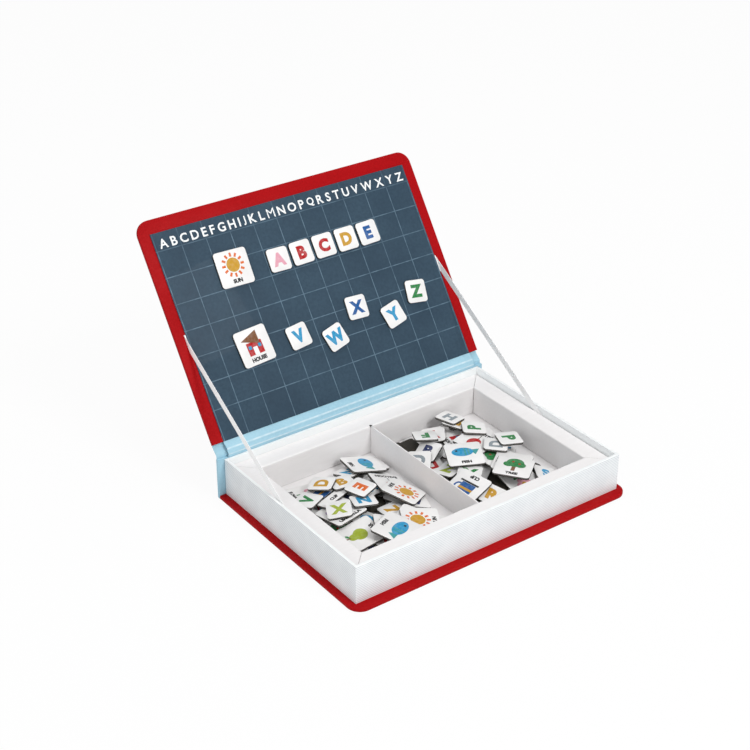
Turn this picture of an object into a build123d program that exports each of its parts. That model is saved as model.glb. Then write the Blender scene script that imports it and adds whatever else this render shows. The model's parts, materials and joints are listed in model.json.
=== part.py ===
# Magnetic alphabet book: a hard cover whose back carries a tray of magnetic tiles and whose front,
# held leaning back by two tapes, is a steel-backed board with a grid.
# Millimetres. The origin is the middle of the back cover's underside. X runs along the hinge, Y to the
# spine and Z up.
from build123d import *

import os
from math import cos, radians, sin, sqrt, tan

from scipy.optimize import linprog

os.makedirs("parts", exist_ok=True)

# Cover
cover_w = 260.0          # along the hinge
board_t = 2.4            # grey board in the covers and the spine
paper_t = 0.3            # printed paper round a board
corner_r = 11.0          # outer corners away from the spine
turn_in = 15.0           # width of the paper turned over a board's edge
side_overhang = 5.5      # cover past the tray at each side
front_overhang = 8.2     # cover past the tray at the front

# Tray
tray_d = 172.0
tray_h = 31.5
wall_board_t = 1.6
floor_t = 1.0
card_t = 0.8             # folded white card
ledge_in = 18.9          # tray's outer face to the edge of the compartments
ledge_drop = 5.4         # rim down to the ledge
glue_gap = 0.4           # tray to spine
rail_clear = 0.1
tape_slot = 0.8          # gap for a tape between a side wall and its ledge
skin_down = 11.5         # page paper turned down inside the rim
flange_w = 10.0          # glue flange of a rail on the floor
lip_h = 9.0              # rail's lip down the tray wall
fold_r = 0.8             # centre-line radius of a fold in card
mitre_gap = 0.15         # half the open seam at a mitred corner

# Divider
divider_t = 1.0
divider_x = 0.4          # its middle, right of the tray's middle
divider_drop = 0.3       # its top, below the ledge
divider_tab = 5.0        # tab behind each rail
slit_clear = 0.15        # each side of the divider in its slits
relief_r = 1.4           # round hole at the top of the rear slit

# Lid and hinge
open_angle = 125.0       # from closed to leaning back on the tapes
axis_back = 2.1          # hinge axis behind the spine's outer face
axis_up = 3.8            # hinge axis above the tray's rim
panel_gap = 0.3          # closed grid panel above the rim
panel_clear = 1.1        # tape to the side of the grid panel
panel_far = 11.3         # grid panel's far edge to the lid's
panel_t = 0.5
panel_in = 1.1           # closed grid panel's edge in front of the tray's rear face
steel_t = 0.3
steel_side = 5.1         # steel sheet inside the grid panel's sides
steel_edge = 6.0         # steel sheet inside the grid panel's hinge edge and far edge
liner_tuck = 5.0         # liner under the grid panel
hinge_flat = 2.0         # hinge papers run straight on before they meet the lid
hinge_r = 1.2            # centre-line radius of their bends
outer_rise = 1.6         # outer strip's upright stretch above the spine
liner_rise = 0.6         # liner's upright stretch above the spine

# Tapes
tape_w = 8.0
tape_t = 0.4
tape_lid_y = 84.0        # where a tape leaves the lid, from the hinge axis
tape_tray_y = 8.0        # where it meets the ledge, along Y
tape_tail = 28.0         # its length down behind the ledge
tape_tab = 3.7           # its tab under the grid panel

# Tiles
letter_s = 19.0
picture_s = 29.0
tile_r = 2.5
face_t = 1.2             # printed card
magnet_t = 0.8           # magnetic backing
tile_gap = 0.15          # tile to what it lies on
row_x = -22.5            # middle of the first tile of the row on the board
row_gap = 2.8            # between tiles of the row
row_down = 46.4          # row's middle line below the grid panel's far edge

# Levels and places that follow
cover_t = board_t + 2 * paper_t
wall_t = wall_board_t + 2 * paper_t
tray_w = cover_w - 2 * side_overhang
cover_d = front_overhang + tray_d + glue_gap + board_t + 2 * paper_t
front_y = -cover_d / 2
back_y = cover_d / 2
tray_y0 = front_y + front_overhang
tray_y1 = tray_y0 + tray_d
tray_ym = (tray_y0 + tray_y1) / 2
spine_y = tray_y1 + glue_gap
rim_z = cover_t + tray_h
ledge_z = rim_z - ledge_drop
floor_z = cover_t + floor_t
well_x = tray_w / 2 - ledge_in
well_y0 = tray_y0 + ledge_in
well_y1 = tray_y1 - ledge_in
tile_t = face_t + magnet_t

# Lid frame: local x along the hinge, local y up the lid and local z out of its inner face
axis_y = back_y + axis_back
axis_z = rim_z + axis_up
lean = radians(180 - open_angle)
panel_z = axis_z - rim_z - panel_gap
sheet_z = panel_z - panel_t
face_z = sheet_z - steel_t
lid_z0 = face_z - cover_t
lid_y0 = axis_y - tray_y1 + panel_in
lid_y1 = axis_y - front_y
panel_y1 = lid_y1 - panel_far
panel_l = panel_y1 - lid_y0
tape_x = tray_w / 2 - wall_t - tape_slot / 2
panel_w = 2 * (tape_x - tape_t / 2 - panel_clear)
steel_w = panel_w - 2 * steel_side
row_y = panel_y1 - row_down
row_pitch = letter_s + row_gap


def lid_plane(height):
    """Plane parallel to the lid's inner face, with its origin over the hinge axis."""
    out = Vector(0, -sin(lean), cos(lean))
    return Plane(Vector(0, axis_y, axis_z) + out * height, x_dir=(1, 0, 0), z_dir=out)


def lid_point(y, z):
    """(Y, Z) of a point given in the lid frame."""
    return axis_y + y * cos(lean) - z * sin(lean), axis_z + y * sin(lean) + z * cos(lean)


def save(solid, label):
    solid.label = label
    export_step(solid, f"parts/{label}.step")


def cover_outline(half_w, near_y, far_y, radius):
    """Rectangle from near_y to far_y, with its far corners rounded."""
    middle = (near_y + far_y) / 2
    with BuildSketch() as outline:
        with Locations((0, middle)):
            Rectangle(2 * half_w, abs(far_y - near_y))
        far = outline.vertices().filter_by(lambda v: abs(v.Y - far_y) < 0.01)
        fillet(far, radius)
    return outline.sketch


def wrapped_cover(base_plane, near_y, far_y):
    """Paper round a cover board: outer sheet, three edges and three turned-in bands."""
    grow = paper_t if far_y > near_y else -paper_t
    band = turn_in if far_y > near_y else -turn_in
    with BuildPart() as wrap:
        with BuildSketch(base_plane):
            add(cover_outline(cover_w / 2, near_y, far_y, corner_r))
        extrude(amount=cover_t)
        with BuildSketch(base_plane.offset(paper_t)):
            add(cover_outline(cover_w / 2 - paper_t, near_y - grow, far_y - grow, corner_r - paper_t))
        extrude(amount=board_t, mode=Mode.SUBTRACT)
        with BuildSketch(base_plane.offset(paper_t + board_t)):
            with Locations((0, (near_y - grow + far_y - band) / 2)):
                Rectangle(cover_w - 2 * turn_in, abs(far_y - band - near_y + grow))
        extrude(amount=paper_t, mode=Mode.SUBTRACT)
    return wrap.part


def cover_board(base_plane, near_y, far_y):
    """The board inside a wrapped cover."""
    grow = paper_t if far_y > near_y else -paper_t
    with BuildPart() as board:
        with BuildSketch(base_plane.offset(paper_t)):
            add(cover_outline(cover_w / 2 - paper_t, near_y, far_y - grow, corner_r - paper_t))
        extrude(amount=board_t)
    return board.part


# Back cover
save(cover_board(Plane.XY, spine_y, front_y), "back_board")
save(wrapped_cover(Plane.XY, spine_y, front_y), "back_wrap")

# Lid cover
save(cover_board(lid_plane(lid_z0), lid_y0, lid_y1), "lid_board")
save(wrapped_cover(lid_plane(lid_z0), lid_y0, lid_y1), "lid_wrap")

# Spine
spine_top = rim_z
with BuildPart() as spine_board:
    with BuildSketch(Plane.XY.offset(paper_t)):
        with Locations((0, spine_y + paper_t + board_t / 2)):
            Rectangle(cover_w - 2 * paper_t, board_t)
    extrude(amount=spine_top - paper_t)
save(spine_board.part, "spine_board")

with BuildPart() as spine_wrap:
    with BuildSketch(Plane.XY):
        with Locations((0, spine_y + cover_t / 2)):
            Rectangle(cover_w, cover_t)
    extrude(amount=spine_top)
    with BuildSketch(Plane.XY.offset(paper_t)):
        with Locations((0, spine_y + paper_t + board_t / 2)):
            Rectangle(cover_w - 2 * paper_t, board_t)
    extrude(amount=spine_top, mode=Mode.SUBTRACT)
    with BuildSketch(Plane.XY.offset(cover_t)):
        with Locations((0, spine_y + paper_t / 2)):
            Rectangle(panel_w, paper_t)
    extrude(amount=spine_top, mode=Mode.SUBTRACT)
save(spine_wrap.part, "spine_wrap")

# Hinge papers: each is a bent ribbon of paper with one profile along the whole hinge
half_paper = paper_t / 2
outer_line = [
    (spine_y + cover_t - half_paper, spine_top),
    (spine_y + cover_t - half_paper, spine_top + outer_rise),
    lid_point(lid_y0 - hinge_flat, lid_z0 + half_paper),
    lid_point(lid_y0, lid_z0 + half_paper),
]
liner_line = [
    (spine_y + half_paper, cover_t),
    (spine_y + half_paper, spine_top + liner_rise),
    lid_point(lid_y0 - hinge_flat, face_z + half_paper),
    lid_point(lid_y0 + liner_tuck, face_z + half_paper),
]


def hinge_paper(points, width):
    """Paper of constant thickness that follows a line of (Y, Z) points."""
    with BuildPart() as paper:
        with BuildSketch(Plane.YZ):
            with BuildLine():
                FilletPolyline(*points, radius=hinge_r)
            trace(line_width=paper_t)
        extrude(amount=width / 2, both=True)
    return paper.part


save(hinge_paper(outer_line, cover_w), "hinge_strip")
save(hinge_paper(liner_line, panel_w), "hinge_liner")

# Board on the inside of the lid
with BuildPart() as steel_sheet:
    with BuildSketch(lid_plane(face_z)):
        with Locations((0, (lid_y0 + panel_y1) / 2)):
            Rectangle(steel_w, panel_l - 2 * steel_edge)
    extrude(amount=steel_t)
save(steel_sheet.part, "steel_sheet")

with BuildPart() as grid_panel:
    with BuildSketch(lid_plane(sheet_z)):
        with Locations((0, (lid_y0 + panel_y1) / 2)):
            Rectangle(panel_w, panel_l)
    extrude(amount=panel_t)
save(grid_panel.part, "grid_panel")

# Tray floor and walls
with BuildPart() as tray_floor:
    with BuildSketch(Plane.XY.offset(cover_t)):
        with Locations((0, tray_ym)):
            Rectangle(tray_w - 2 * paper_t, tray_d - 2 * paper_t)
    extrude(amount=floor_t)
save(tray_floor.part, "tray_floor")

wall_h = rim_z - paper_t - floor_z
wall_in = paper_t + wall_board_t / 2
long_wall = (tray_w - 2 * paper_t, wall_board_t)
short_wall = (wall_board_t, tray_d - 2 * (paper_t + wall_board_t))
walls = {
    "tray_wall_front": ((0, tray_y0 + wall_in), long_wall),
    "tray_wall_rear": ((0, tray_y1 - wall_in), long_wall),
    "tray_wall_left": ((-tray_w / 2 + wall_in, tray_ym), short_wall),
    "tray_wall_right": ((tray_w / 2 - wall_in, tray_ym), short_wall),
}
for label, (place, size) in walls.items():
    with BuildPart() as wall:
        with BuildSketch(Plane.XY.offset(floor_z)):
            with Locations(place):
                Rectangle(*size)
        extrude(amount=wall_h)
    save(wall.part, label)

# Page paper: outside of the walls, over the rim and down inside it
with BuildPart() as page_wrap:
    with BuildSketch(Plane.XY.offset(cover_t)):
        with Locations((0, tray_ym)):
            Rectangle(tray_w, tray_d)
            Rectangle(tray_w - 2 * wall_t, tray_d - 2 * wall_t, mode=Mode.SUBTRACT)
    extrude(amount=tray_h)
    with BuildSketch(Plane.XY.offset(cover_t)):
        with Locations((0, tray_ym)):
            Rectangle(tray_w - 2 * paper_t, tray_d - 2 * paper_t)
            Rectangle(tray_w - 2 * (wall_t - paper_t), tray_d - 2 * (wall_t - paper_t), mode=Mode.SUBTRACT)
    extrude(amount=tray_h - paper_t, mode=Mode.SUBTRACT)
    with BuildSketch(Plane.XY.offset(cover_t)):
        with Locations((0, tray_ym)):
            Rectangle(tray_w - 2 * paper_t, tray_d - 2 * paper_t)
    extrude(amount=tray_h - skin_down, mode=Mode.SUBTRACT)
save(page_wrap.part, "page_wrap")


def rail_profile(wall_gap):
    """Folded card in section: x from the tray's outer face inwards, y up from the cover."""
    outer = wall_t + wall_gap + card_t / 2
    inner = ledge_in - card_t / 2
    top = ledge_z - card_t / 2
    foot = floor_z + card_t / 2
    with BuildSketch() as profile:
        with BuildLine():
            FilletPolyline(
                (outer, top - lip_h),
                (outer, top),
                (inner, top),
                (inner, foot),
                (inner - flange_w, foot),
                radius=fold_r,
            )
        trace(line_width=card_t)
    return profile.sketch


def mitred_rail(section_plane, wall_gap, length, corner_planes):
    """Rail pushed along a tray wall and cut on the mitre at both ends."""
    with BuildPart() as rail:
        with BuildSketch(section_plane):
            add(rail_profile(wall_gap))
        extrude(amount=length / 2, both=True)
        for corner in corner_planes:
            split(bisect_by=corner.offset(mitre_gap), keep=Keep.TOP)
    return rail.part


def mitre(x, y, normal):
    """Upright plane through a corner of the compartments' outline; its normal points into the rail."""
    return Plane((x, y, 0), z_dir=normal)


corners_front = [mitre(-well_x, well_y0, (1, -1, 0)), mitre(well_x, well_y0, (-1, -1, 0))]
corners_rear = [mitre(-well_x, well_y1, (1, 1, 0)), mitre(well_x, well_y1, (-1, 1, 0))]
corners_left = [mitre(-well_x, well_y0, (-1, 1, 0)), mitre(-well_x, well_y1, (-1, -1, 0))]
corners_right = [mitre(well_x, well_y0, (1, 1, 0)), mitre(well_x, well_y1, (1, -1, 0))]

front_section = Plane((0, tray_y0, 0), x_dir=(0, 1, 0), z_dir=(1, 0, 0))
rear_section = Plane((0, tray_y1, 0), x_dir=(0, -1, 0), z_dir=(-1, 0, 0))
left_section = Plane((-tray_w / 2, tray_ym, 0), x_dir=(1, 0, 0), z_dir=(0, -1, 0))
right_section = Plane((tray_w / 2, tray_ym, 0), x_dir=(-1, 0, 0), z_dir=(0, 1, 0))

# Slits for the divider's tabs, and the round hole that ends the rear slit at its fold
slit_w = divider_t + 2 * slit_clear
with BuildPart() as rail_front:
    add(mitred_rail(front_section, rail_clear, tray_w, corners_front))
    with BuildSketch(Plane.XY.offset(floor_z + card_t + fold_r)):
        with Locations((divider_x, well_y0)):
            Rectangle(slit_w, 4 * card_t)
    extrude(amount=ledge_z - card_t - fold_r - floor_z - card_t - fold_r, mode=Mode.SUBTRACT)
save(rail_front.part, "ledge_rail_front")

with BuildPart() as rail_rear:
    add(mitred_rail(rear_section, rail_clear, tray_w, corners_rear))
    with BuildSketch(Plane.XY.offset(floor_z + card_t + fold_r)):
        with Locations((divider_x, well_y1)):
            Rectangle(slit_w, 4 * card_t)
    extrude(amount=ledge_z - floor_z - card_t - fold_r, mode=Mode.SUBTRACT)
    with BuildSketch(Plane((divider_x, well_y1, ledge_z), z_dir=(0, -1, 1))):
        Circle(relief_r)
    extrude(amount=3 * relief_r, both=True, mode=Mode.SUBTRACT)
save(rail_rear.part, "ledge_rail_rear")

save(mitred_rail(left_section, tape_slot, tray_d, corners_left), "ledge_rail_left")
save(mitred_rail(right_section, tape_slot, tray_d, corners_right), "ledge_rail_right")

# Divider, with a tab at each end behind its rail
tab_z0 = floor_z + card_t + fold_r
tab_z1 = ledge_z - card_t - fold_r
end_clear = 0.2
well_d = well_y1 - well_y0
well_ym = (well_y0 + well_y1) / 2
with BuildPart() as divider:
    with BuildSketch(Plane.YZ.offset(divider_x)):
        with Locations((well_ym, (floor_z + ledge_z - divider_drop) / 2)):
            Rectangle(well_d - 2 * end_clear, ledge_z - divider_drop - floor_z)
        with Locations((well_ym, (tab_z0 + tab_z1) / 2)):
            Rectangle(well_d + 2 * (card_t + divider_tab), tab_z1 - tab_z0 - 2 * end_clear)
    extrude(amount=divider_t / 2, both=True)
save(divider.part, "divider")


# Lid tapes: flat, upright and taut from the lid's face to the slot beside the ledge
def tape(side):
    """Tape on one side: its straight stretch, and its tab under the grid panel."""
    lid_at = Vector(*lid_point(tape_lid_y, face_z))
    tray_at = Vector(tape_tray_y, ledge_z)
    along = (tray_at - lid_at).normalized()
    across = Vector(-along.Y, along.X)
    lid_normal = Vector(-sin(lean), cos(lean))
    slant = across.dot(lid_normal) / along.dot(lid_normal)
    tail = (tray_at - lid_at).length + tape_tail
    outline = []
    for edge in (tape_w / 2, -tape_w / 2):
        outline.append(lid_at + across * edge - along * (slant * edge))
    for edge in (-tape_w / 2, tape_w / 2):
        outline.append(lid_at + across * edge + along * tail)
    foot = tape_w / 2 * sqrt(1 + slant * slant)
    tab_from = panel_w / 2 - tape_tab
    tab_to = tape_x + tape_t / 2
    with BuildPart() as strip:
        with BuildSketch(Plane.YZ.offset(side * tape_x)):
            with BuildLine():
                Polyline(*[(p.X, p.Y) for p in outline], close=True)
            make_face()
        extrude(amount=tape_t / 2, both=True)
        with BuildSketch(lid_plane(face_z)):
            with Locations((side * (tab_from + tab_to) / 2, tape_lid_y)):
                Rectangle(tab_to - tab_from, 2 * foot)
        extrude(amount=steel_t)
    return strip.part


save(tape(-1), "lid_tape_left")
save(tape(1), "lid_tape_right")


# Tiles: a printed card on a magnetic backing, two flat solids
def tile(plane, size, rounded=True):
    """Tile whose underside lies on the plane, middle on its origin; its corners are arcs or plain cuts."""
    layers = []
    for height, thick in ((0, magnet_t), (magnet_t, face_t)):
        with BuildPart() as layer:
            with BuildSketch(plane.offset(height)) as outline:
                Rectangle(size, size)
                if rounded:
                    fillet(outline.vertices(), tile_r)
                else:
                    chamfer(outline.vertices(), tile_r * tan(radians(22.5)) * sqrt(2))
            extrude(amount=thick)
        layers.append(layer.part.solid())
    return layers


# Tiles on the board: name, size, x and y of the middle in the lid frame, and turn in degrees.
# The upper ones keep to the board's far edge, the lower ones to its hinge edge.
board_tiles = [
    ("picture_tile_upper", picture_s, row_x - 40.5, row_y + 3.5, -1.5),
    ("picture_tile_lower", picture_s, row_x - 46.5, 68.5, 3.5),
    ("row_tile_1", letter_s, row_x, row_y - 0.2, -1.5),
    ("row_tile_2", letter_s, row_x + row_pitch, row_y, 1.0),
    ("row_tile_3", letter_s, row_x + 2 * row_pitch, row_y + 0.2, 0.3),
    ("row_tile_4", letter_s, row_x + 3 * row_pitch + 0.2, row_y + 0.2, 0.0),
    ("row_tile_5", letter_s, row_x + 4 * row_pitch + 0.1, row_y, 1.5),
    ("scattered_tile_1", letter_s, -0.120 * panel_w, 65.0, 6.0),
    ("scattered_tile_2", letter_s, 0.011 * panel_w, 54.8, 14.0),
    ("scattered_tile_3", letter_s, 0.127 * panel_w, 72.4, -3.0),
    ("scattered_tile_4", letter_s, 0.255 * panel_w, 57.4, 13.0),
    ("scattered_tile_5", letter_s, 0.373 * panel_w, 69.7, -8.5),
]
seat = lid_plane(panel_z + tile_gap)
for label, size, x, y, turn in board_tiles:
    heading = seat.x_dir * cos(radians(turn)) + seat.y_dir * sin(radians(turn))
    place = Plane(seat.from_local_coords((x, y, 0)), x_dir=heading, z_dir=seat.z_dir)
    save(Compound(tile(place, size)), label)


# Piles in the tray: each tile comes to rest on the lowest plane that clears all it covers
def clip(shape, cutter):
    """Overlap of two convex outlines, both anticlockwise, as (x, y) points."""
    for i, a in enumerate(cutter):
        b = cutter[(i + 1) % len(cutter)]
        inside = [(b[0] - a[0]) * (p[1] - a[1]) - (b[1] - a[1]) * (p[0] - a[0]) for p in shape]
        kept = []
        for j, p in enumerate(shape):
            k = (j + 1) % len(shape)
            if inside[j] >= 0:
                kept.append(p)
            if inside[j] * inside[k] < 0:
                share = inside[j] / (inside[j] - inside[k])
                kept.append((p[0] + share * (shape[k][0] - p[0]), p[1] + share * (shape[k][1] - p[1])))
        shape = kept
    return shape


def square(x, y, half, turn):
    """Corners of a turned square, anticlockwise."""
    c, s = cos(turn) * half, sin(turn) * half
    return [(x + c - s, y + s + c), (x - c - s, y - s + c), (x - c + s, y - s - c), (x + c + s, y + s - c)]


tile_margin = 0.6        # sideways room for a tilted tile
steepest = 0.4           # a tile at a steeper slope would slide off
pile_h = 18.0            # highest corner of a tile above the tray floor
tries = 400              # places looked at before a pile is left as it is
turn_step = 137.5        # degrees from one dropped tile to the next
across_step = 0.7549     # and its shares of the compartment, which spread evenly
back_step = 0.5698
nudge = 0.6              # a loose tile looks for room on a spiral of this spacing
nudge_turn = 2.4


def settle(tops, x, y, size, turn):
    """Outline of a new tile and the slopes and height of the plane it rests on."""
    outline = square(x, y, size / 2 + tile_margin, turn)
    points = [(px, py, floor_z) for px, py in outline]
    for other, (a, b, c) in tops:
        points += [(px, py, a * px + b * py + c) for px, py in clip(outline, other)]
    rows = [[-px, -py, -1] for px, py, _ in points]
    limits = [-(pz + tile_gap) for _, _, pz in points]
    return outline, linprog([x, y, 1], A_ub=rows, b_ub=limits, bounds=[(None, None)] * 3).x


def lay(tops, x, y, turn, resting):
    """Add the settled tile to the pile, and give the plane of its underside."""
    outline, (a, b, c) = resting
    tops.append((outline, (a, b, c + tile_t * sqrt(1 + a * a + b * b))))
    heading = Vector(cos(turn), sin(turn), a * cos(turn) + b * sin(turn))
    return Plane((x, y, a * x + b * y + c), x_dir=heading, z_dir=(-a, -b, 1))


def reach(size, turn):
    """How far a turned tile needs its middle from a wall."""
    return size / 2 * (abs(cos(turn)) + abs(sin(turn))) + tile_margin


def stays(resting, size):
    """Whether a settled tile lies gently enough and low enough to stay."""
    outline, (a, b, c) = resting
    slope = sqrt(a * a + b * b)
    middle_x = sum(px for px, _ in outline) / 4
    middle_y = sum(py for _, py in outline) / 4
    highest = a * middle_x + b * middle_y + c + tile_t + slope * size / sqrt(2)
    return slope < steepest and highest < floor_z + pile_h


def pile(x0, x1, count, top_places, phase):
    """Tiles dropped one after another into a compartment, then the loose ones laid on top."""
    tops = []
    buried = []
    loose = []
    for step in range(tries):
        if len(tops) == count:
            break
        size = picture_s if len(tops) % 4 == 1 else letter_s
        turn = radians(turn_step * step)
        room = reach(size, turn)
        x = x0 + room + (phase + across_step * step) % 1 * (x1 - x0 - 2 * room)
        y = well_y0 + room + (phase * 1.7 + back_step * step) % 1 * (well_y1 - well_y0 - 2 * room)
        resting = settle(tops, x, y, size, turn)
        if stays(resting, size):
            buried += tile(lay(tops, x, y, turn, resting), size, rounded=False)
    below = len(tops)
    for size, u, v, turn in top_places:
        turn = radians(turn)
        room = reach(size, turn)
        for step in range(tries):
            out = nudge * sqrt(step)
            x = x0 + u * (x1 - x0) + out * cos(nudge_turn * step)
            y = well_y0 + v * (well_y1 - well_y0) + out * sin(nudge_turn * step)
            x = min(max(x, x0 + room), x1 - room)
            y = min(max(y, well_y0 + room), well_y1 - room)
            resting = settle(tops, x, y, size, turn)
            apart = not any(clip(resting[0], other) for other, _ in tops[below:])
            if apart and stays(resting, size):
                break
        loose.append(tile(lay(tops, x, y, turn, resting), size))
    return buried, loose


# Loose tiles on top: size, shares of the compartment across and back, and turn in degrees
left_top = [
    (picture_s, 0.78, 0.84, -12.0),
    (letter_s, 0.34, 0.76, 40.0),
    (picture_s, 0.72, 0.46, 33.0),
    (letter_s, 0.30, 0.47, 62.0),
    (picture_s, 0.36, 0.16, 24.0),
]
right_top = [
    (letter_s, 0.16, 0.70, 50.0),
    (picture_s, 0.42, 0.52, 62.0),
    (letter_s, 0.60, 0.86, 20.0),
    (letter_s, 0.84, 0.48, 70.0),
    (picture_s, 0.50, 0.20, 38.0),
]
pile_count = 36
wall_clear = 0.3
half_divider = divider_t / 2 + wall_clear
compartments = [
    ("left", -well_x + wall_clear, divider_x - half_divider, left_top, 0.31),
    ("right", divider_x + half_divider, well_x - wall_clear, right_top, 0.83),
]
for side, x0, x1, top_places, phase in compartments:
    buried, loose = pile(x0, x1, pile_count, top_places, phase)
    save(Compound(buried), f"pile_{side}")
    for i, layers in enumerate(loose):
        save(Compound(layers), f"loose_tile_{side}_{i + 1}")
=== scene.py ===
# %% [markdown]
# # A magnetic alphabet book
# The object is a stiff picture-book cover. Its back carries a white tray of magnetic tiles, and its front
# leans back on two tapes and holds a slate-coloured board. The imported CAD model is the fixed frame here:
# this script gives it edges, folds, prints and finishes, and never moves it.

# %% Load the frame
import json
import math
import random

import bmesh
import bpy
import numpy as np
from mathutils import Matrix, Vector


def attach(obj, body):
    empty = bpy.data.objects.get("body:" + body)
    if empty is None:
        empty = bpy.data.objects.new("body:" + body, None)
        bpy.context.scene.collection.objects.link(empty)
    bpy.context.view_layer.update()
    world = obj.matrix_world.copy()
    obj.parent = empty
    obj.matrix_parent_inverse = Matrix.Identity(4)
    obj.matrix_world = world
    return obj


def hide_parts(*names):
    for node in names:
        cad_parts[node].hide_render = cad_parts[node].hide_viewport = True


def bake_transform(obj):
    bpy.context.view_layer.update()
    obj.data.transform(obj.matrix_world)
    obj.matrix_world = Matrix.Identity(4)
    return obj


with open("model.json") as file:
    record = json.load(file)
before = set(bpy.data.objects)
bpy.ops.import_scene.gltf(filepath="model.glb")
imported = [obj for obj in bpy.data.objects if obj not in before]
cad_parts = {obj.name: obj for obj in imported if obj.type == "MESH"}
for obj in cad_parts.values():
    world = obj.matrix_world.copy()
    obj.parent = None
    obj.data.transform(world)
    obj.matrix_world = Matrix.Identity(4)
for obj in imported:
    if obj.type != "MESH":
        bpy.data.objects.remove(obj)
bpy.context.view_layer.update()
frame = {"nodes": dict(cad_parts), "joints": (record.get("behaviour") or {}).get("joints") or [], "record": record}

mm = 0.001
nodes = frame["nodes"]

# %% [markdown]
# ## Where the lid is
# Much of the work happens on the leaning board, so a small frame of its own helps: x along the hinge,
# y up the board and z out of it. It comes from the hinge joint, so it follows the model.

# %% Lid frame
lid_joint = next(j for j in frame["joints"] if j["name"] == "lid_hinge")
hinge = Vector(lid_joint["pos_m"])
lean = math.radians(180 + lid_joint["range_deg"][0])
up_lid = Vector((0, math.cos(lean), math.sin(lean)))
out_lid = Vector((0, -math.sin(lean), math.cos(lean)))
lid_frame = Matrix.Translation(hinge) @ Matrix((Vector((1, 0, 0)), up_lid, out_lid)).transposed().to_4x4()


def on_lid(x, y, z):
    """Point of the row frame from millimetres in the lid frame."""
    return lid_frame @ (Vector((x, y, z)) * mm)


print("lid leans back", round(90 - math.degrees(lean)), "degrees from upright")

# %% [markdown]
# ## Camera
# The photograph was taken with a long lens from the front left, a little above. Its place and lens were
# worked out from the straight edges of the covers and the tray, so the render frames the book alike.

# %% Camera
camera_data = bpy.data.cameras.new("camera")
camera_data.lens = 78.34
camera_data.sensor_width = 36.0
camera_data.clip_start = 0.05
camera = bpy.data.objects.new("camera", camera_data)
bpy.context.scene.collection.objects.link(camera)
right = Vector((0.80707, -0.59046, 0.00219))
down = Vector((-0.2887, -0.39783, -0.87085))
forward = Vector((0.51507, 0.7022, -0.49154))
camera.matrix_world = Matrix((right, -down, -forward)).transposed().to_4x4()
camera.location = Vector((-654.8, -828.5, 703.0)) * mm
bpy.context.scene.camera = camera
print("camera", [round(v, 3) for v in camera.location])

# %% [markdown]
# ## A way to write finishes
# A finish is a tree of shader nodes. `Num` wraps one number in that tree, so that ordinary arithmetic adds
# the Math nodes, and `Finish` makes every other node with one method. Colours are given as they look on a
# screen, 0 to 255, and turned into the linear numbers that the shader wants.

# %% Shader helpers
def ink(red, green, blue):
    """Linear colour from screen values of 0 to 255."""
    linear = [((c / 255 + 0.055) / 1.055) ** 2.4 if c > 10 else c / 255 / 12.92 for c in (red, green, blue)]
    return (*linear, 1.0)


class Num:
    """One output socket of a finish, which arithmetic turns into Math nodes."""

    def __init__(self, finish, socket):
        self.finish, self.socket = finish, socket

    def math(self, operation, *others):
        return self.finish.node("Math", {"operation": operation}, dict(enumerate((self, *others))))

    def __add__(self, other):
        return self.math("ADD", other)

    def __sub__(self, other):
        return self.math("SUBTRACT", other)

    def __mul__(self, other):
        return self.math("MULTIPLY", other)

    def __rsub__(self, other):
        return self.finish.node("Math", {"operation": "SUBTRACT"}, {0: other, 1: self})

    __radd__ = __add__
    __rmul__ = __mul__

    def step(self, low, high):
        """0 below low, 1 above high, and smooth between."""
        return self.finish.node(
            "MapRange", {"interpolation_type": "SMOOTHSTEP"}, {"Value": self, "From Min": low, "From Max": high}
        )

    def line(self, pitch, half_width, soft):
        """1 on thin lines that repeat with that pitch, 0 between them."""
        return 1 - self.math("PINGPONG", pitch / 2).step(half_width, half_width + soft)


class Finish:
    """One material, whose nodes are added as they are asked for."""

    def __init__(self, name, **fixed):
        self.material = bpy.data.materials.new(name)
        self.material.use_nodes = True
        self.tree = self.material.node_tree
        self.shader = self.tree.nodes["Principled BSDF"]
        for socket, value in fixed.items():
            self.set(socket.replace("_", " "), value)
        self.place = self.node("TexCoord", {}, {}, "Object")
        self.x, self.y, self.z = (self.node("SeparateXYZ", {}, {0: self.place}, axis) for axis in "XYZ")

    def node(self, kind, settings, sockets, output=0):
        made = self.tree.nodes.new("ShaderNode" + kind)
        for key, value in settings.items():
            setattr(made, key, value)
        for key, value in sockets.items():
            if isinstance(value, Num):
                self.tree.links.new(value.socket, made.inputs[key])
            else:
                made.inputs[key].default_value = value
        return Num(self, made.outputs[output])

    def set(self, socket, value):
        if isinstance(value, Num):
            self.tree.links.new(value.socket, self.shader.inputs[socket])
        else:
            self.shader.inputs[socket].default_value = value

    def noise(self, size, detail=3.0, place=None):
        """Soft noise about 0.5 whose spots are about that size in metres."""
        return self.node("TexNoise", {}, {"Vector": place or self.place, "Scale": 0.5 / size, "Detail": detail})

    def mix(self, factor, a, b):
        return self.node("Mix", {"data_type": "RGBA"}, {0: factor, 6: a, 7: b}, 2)

    def dot(self, direction):
        """Distance along a direction, in metres."""
        return self.node("VectorMath", {"operation": "DOT_PRODUCT"}, {0: self.place, 1: tuple(direction)}, "Value")

    def bump(self, height, distance, strength=1.0):
        wave = self.node("Bump", {}, {"Strength": strength, "Distance": distance, "Height": height})
        self.set("Normal", wave)


print("shader helpers ready")
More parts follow.
